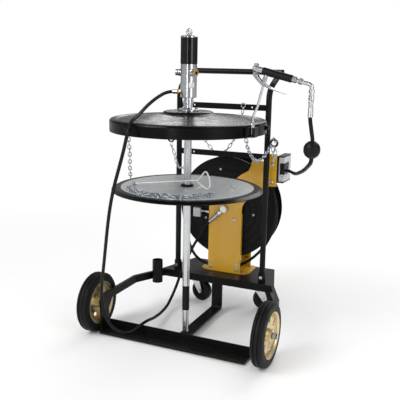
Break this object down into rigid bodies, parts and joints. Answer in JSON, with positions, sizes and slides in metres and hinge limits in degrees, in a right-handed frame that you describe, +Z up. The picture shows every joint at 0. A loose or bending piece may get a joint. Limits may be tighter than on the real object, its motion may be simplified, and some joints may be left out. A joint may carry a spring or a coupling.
{
  "type": "drum grease pump trolley",
  "caption": "Air-operated drum pump on a wheeled trolley, with drum cover, follower plate, spring hose reel, hoses and a hand gun parked on the cover's rim.",
  "frame": {"origin": "on the floor, straight below the pump tube's axis", "axes": "+Z up, +X to the right of a person facing the toe plate, +Y from the toe plate towards the push handle"},
  "size_m": [0.9723, 0.8964, 1.256],
  "materials": {
    "black_powder_coat": "semi-gloss powder coat",
    "spool_black": "satin black paint on pressed sheet",
    "zinc_bright": "bright zinc plate",
    "black_rubber": "smooth hose rubber",
    "tyre_rubber": "solid rubber",
    "gold_zinc": "yellow zinc plate",
    "polished_steel": "bright plated steel",
    "black_anodised": "gloss black",
    "aluminium_grey": "cast and turned, bright",
    "brass": "turned brass",
    "seal_ptfe": "white seal plastic",
    "galvanised": "galvanised sheet",
    "white_rod": "white-grey plated rod",
    "reel_yellow": "gloss yellow paint",
    "spring_steel": "blued strip",
    "roller_grey": "light grey moulded plastic",
    "grip_black": "black grip sleeve"
  },
  "bodies": {
    "root": {"air_cylinder": "black_anodised", "brass_fittings": "brass", "bung_adapter": "polished_steel", "caster_plates": "zinc_bright", "chains": "zinc_bright", "cover_screws": "zinc_bright", "deck": "black_powder_coat", "delivery_hose": "black_rubber", "drum_cover": "black_powder_coat", "exhaust_muffler": "aluminium_grey", "fasteners": "zinc_bright", "feed_hose": "black_rubber", "foot_sleeve": "black_anodised", "front_pedestal": "reel_yellow", "guide_bracket": "black_powder_coat", "guide_roller_frame": "roller_grey", "gun_holder": "black_powder_coat", "handle_frame": "black_powder_coat", "hose_stop_ball": "black_rubber", "inlet_swivel": "zinc_bright", "motor_cap": "polished_steel", "pump_body": "polished_steel", "pump_foot": "polished_steel", "pump_seals": "seal_ptfe", "rear_pedestal": "reel_yellow", "reel_foot": "reel_yellow", "reel_spindle": "zinc_bright", "reel_spring": "spring_steel", "side_arms": "black_powder_coat", "suction_tube": "polished_steel", "toe_plate": "black_powder_coat"},
    "wheel_left": {"tyre_left": "tyre_rubber", "rim_left": "gold_zinc"},
    "wheel_right": {"tyre_right": "tyre_rubber", "rim_right": "gold_zinc"},
    "caster_left": {"caster_fork_left": "zinc_bright"},
    "caster_right": {"caster_fork_right": "zinc_bright"},
    "caster_left_wheel": {"caster_wheel_left": "tyre_rubber"},
    "caster_right_wheel": {"caster_wheel_right": "tyre_rubber"},
    "follower": {"follower_plate": "galvanised", "follower_lip": "black_rubber", "follower_lugs": "zinc_bright", "chain_pile": "zinc_bright"},
    "follower_lift_handle": {"follower_handle": "white_rod"},
    "pump_rod": {"piston_rod": "polished_steel", "air_piston": "aluminium_grey"},
    "reel_spool": {"spool": "spool_black", "wound_hose": "black_rubber"},
    "reel_lock": {"lock_plunger": "aluminium_grey"},
    "roller_bottom": {"guide_roller_bottom": "roller_grey"},
    "roller_top": {"guide_roller_top": "roller_grey"},
    "roller_front": {"guide_roller_front": "roller_grey"},
    "roller_rear": {"guide_roller_rear": "roller_grey"},
    "gun": {"gun_body": "aluminium_grey", "gun_grip": "grip_black", "gun_pipe": "aluminium_grey", "hose_elbow": "aluminium_grey", "whip_hose": "black_rubber"},
    "trigger": {"gun_trigger": "aluminium_grey"},
    "gun_swivel": {"swivel_nut": "aluminium_grey"}
  },
  "joints": [
    {"name": "wheel_left_roll", "type": "hinge", "parent": "root", "child": "wheel_left", "pos_m": [-0.378, -0.086, 0.1265], "axis": [1, 0, 0], "continuous": true},
    {"name": "wheel_right_roll", "type": "hinge", "parent": "root", "child": "wheel_right", "pos_m": [0.378, -0.086, 0.1265], "axis": [1, 0, 0], "continuous": true},
    {"name": "caster_left_swivel", "type": "hinge", "parent": "root", "child": "caster_left", "pos_m": [-0.155, 0.45, 0.125], "axis": [0, 0, 1], "continuous": true},
    {"name": "caster_left_roll", "type": "hinge", "parent": "caster_left", "child": "caster_left_wheel", "pos_m": [-0.12076, 0.44272, 0.05], "axis": [0.2079, 0.9781, 0], "continuous": true},
    {"name": "caster_right_swivel", "type": "hinge", "parent": "root", "child": "caster_right", "pos_m": [0.155, 0.45, 0.125], "axis": [0, 0, 1], "continuous": true},
    {"name": "caster_right_roll", "type": "hinge", "parent": "caster_right", "child": "caster_right_wheel", "pos_m": [0.1859, 0.46643, 0.05], "axis": [-0.4695, 0.8829, 0], "continuous": true},
    {"name": "follower_slide", "type": "slide", "parent": "root", "child": "follower", "axis": [0, 0, 1], "range_m": [-0.46, 0]},
    {"name": "follower_handle_lift", "type": "hinge", "parent": "follower", "child": "follower_lift_handle", "pos_m": [-0.19, -0.096, 0.659], "axis": [0.2318, -0.9728, 0], "range_deg": [0, 35]},
    {"name": "pump_stroke", "type": "slide", "parent": "root", "child": "pump_rod", "axis": [0, 0, 1], "range_m": [0, 0.06]},
    {"name": "spool_spin", "type": "hinge", "parent": "root", "child": "reel_spool", "pos_m": [0.005, 0.472, 0.477], "axis": [0, 1, 0], "continuous": true},
    {"name": "reel_lock_pull", "type": "slide", "parent": "root", "child": "reel_lock", "axis": [-1, 0, 0], "range_m": [0, 0.015], "stiffness_N_per_m": 400},
    {"name": "roller_bottom_spin", "type": "hinge", "parent": "root", "child": "roller_bottom", "pos_m": [0.264, 0.458, 0.645], "axis": [0, 1, 0], "continuous": true},
    {"name": "roller_top_spin", "type": "hinge", "parent": "root", "child": "roller_top", "pos_m": [0.264, 0.458, 0.699], "axis": [0, 1, 0], "continuous": true},
    {"name": "roller_front_spin", "type": "hinge", "parent": "root", "child": "roller_front", "pos_m": [0.2525, 0.438, 0.677], "axis": [0, 0, 1], "continuous": true},
    {"name": "roller_rear_spin", "type": "hinge", "parent": "root", "child": "roller_rear", "pos_m": [0.2525, 0.478, 0.677], "axis": [0, 0, 1], "continuous": true},
    {"name": "gun_lift", "type": "slide", "parent": "root", "child": "gun", "axis": [0, 0, 1], "range_m": [0, 0.06]},
    {"name": "trigger_pull", "type": "hinge", "parent": "gun", "child": "trigger", "pos_m": [0.306, -0.103, 1.093], "axis": [0, -1, 0], "range_deg": [0, 14], "stiffness_Nm_per_rad": 1.5},
    {"name": "gun_swivel_turn", "type": "hinge", "parent": "gun", "child": "gun_swivel", "pos_m": [0.508, -0.103, 1.021], "axis": [0, 0, 1], "continuous": true}
  ]
}
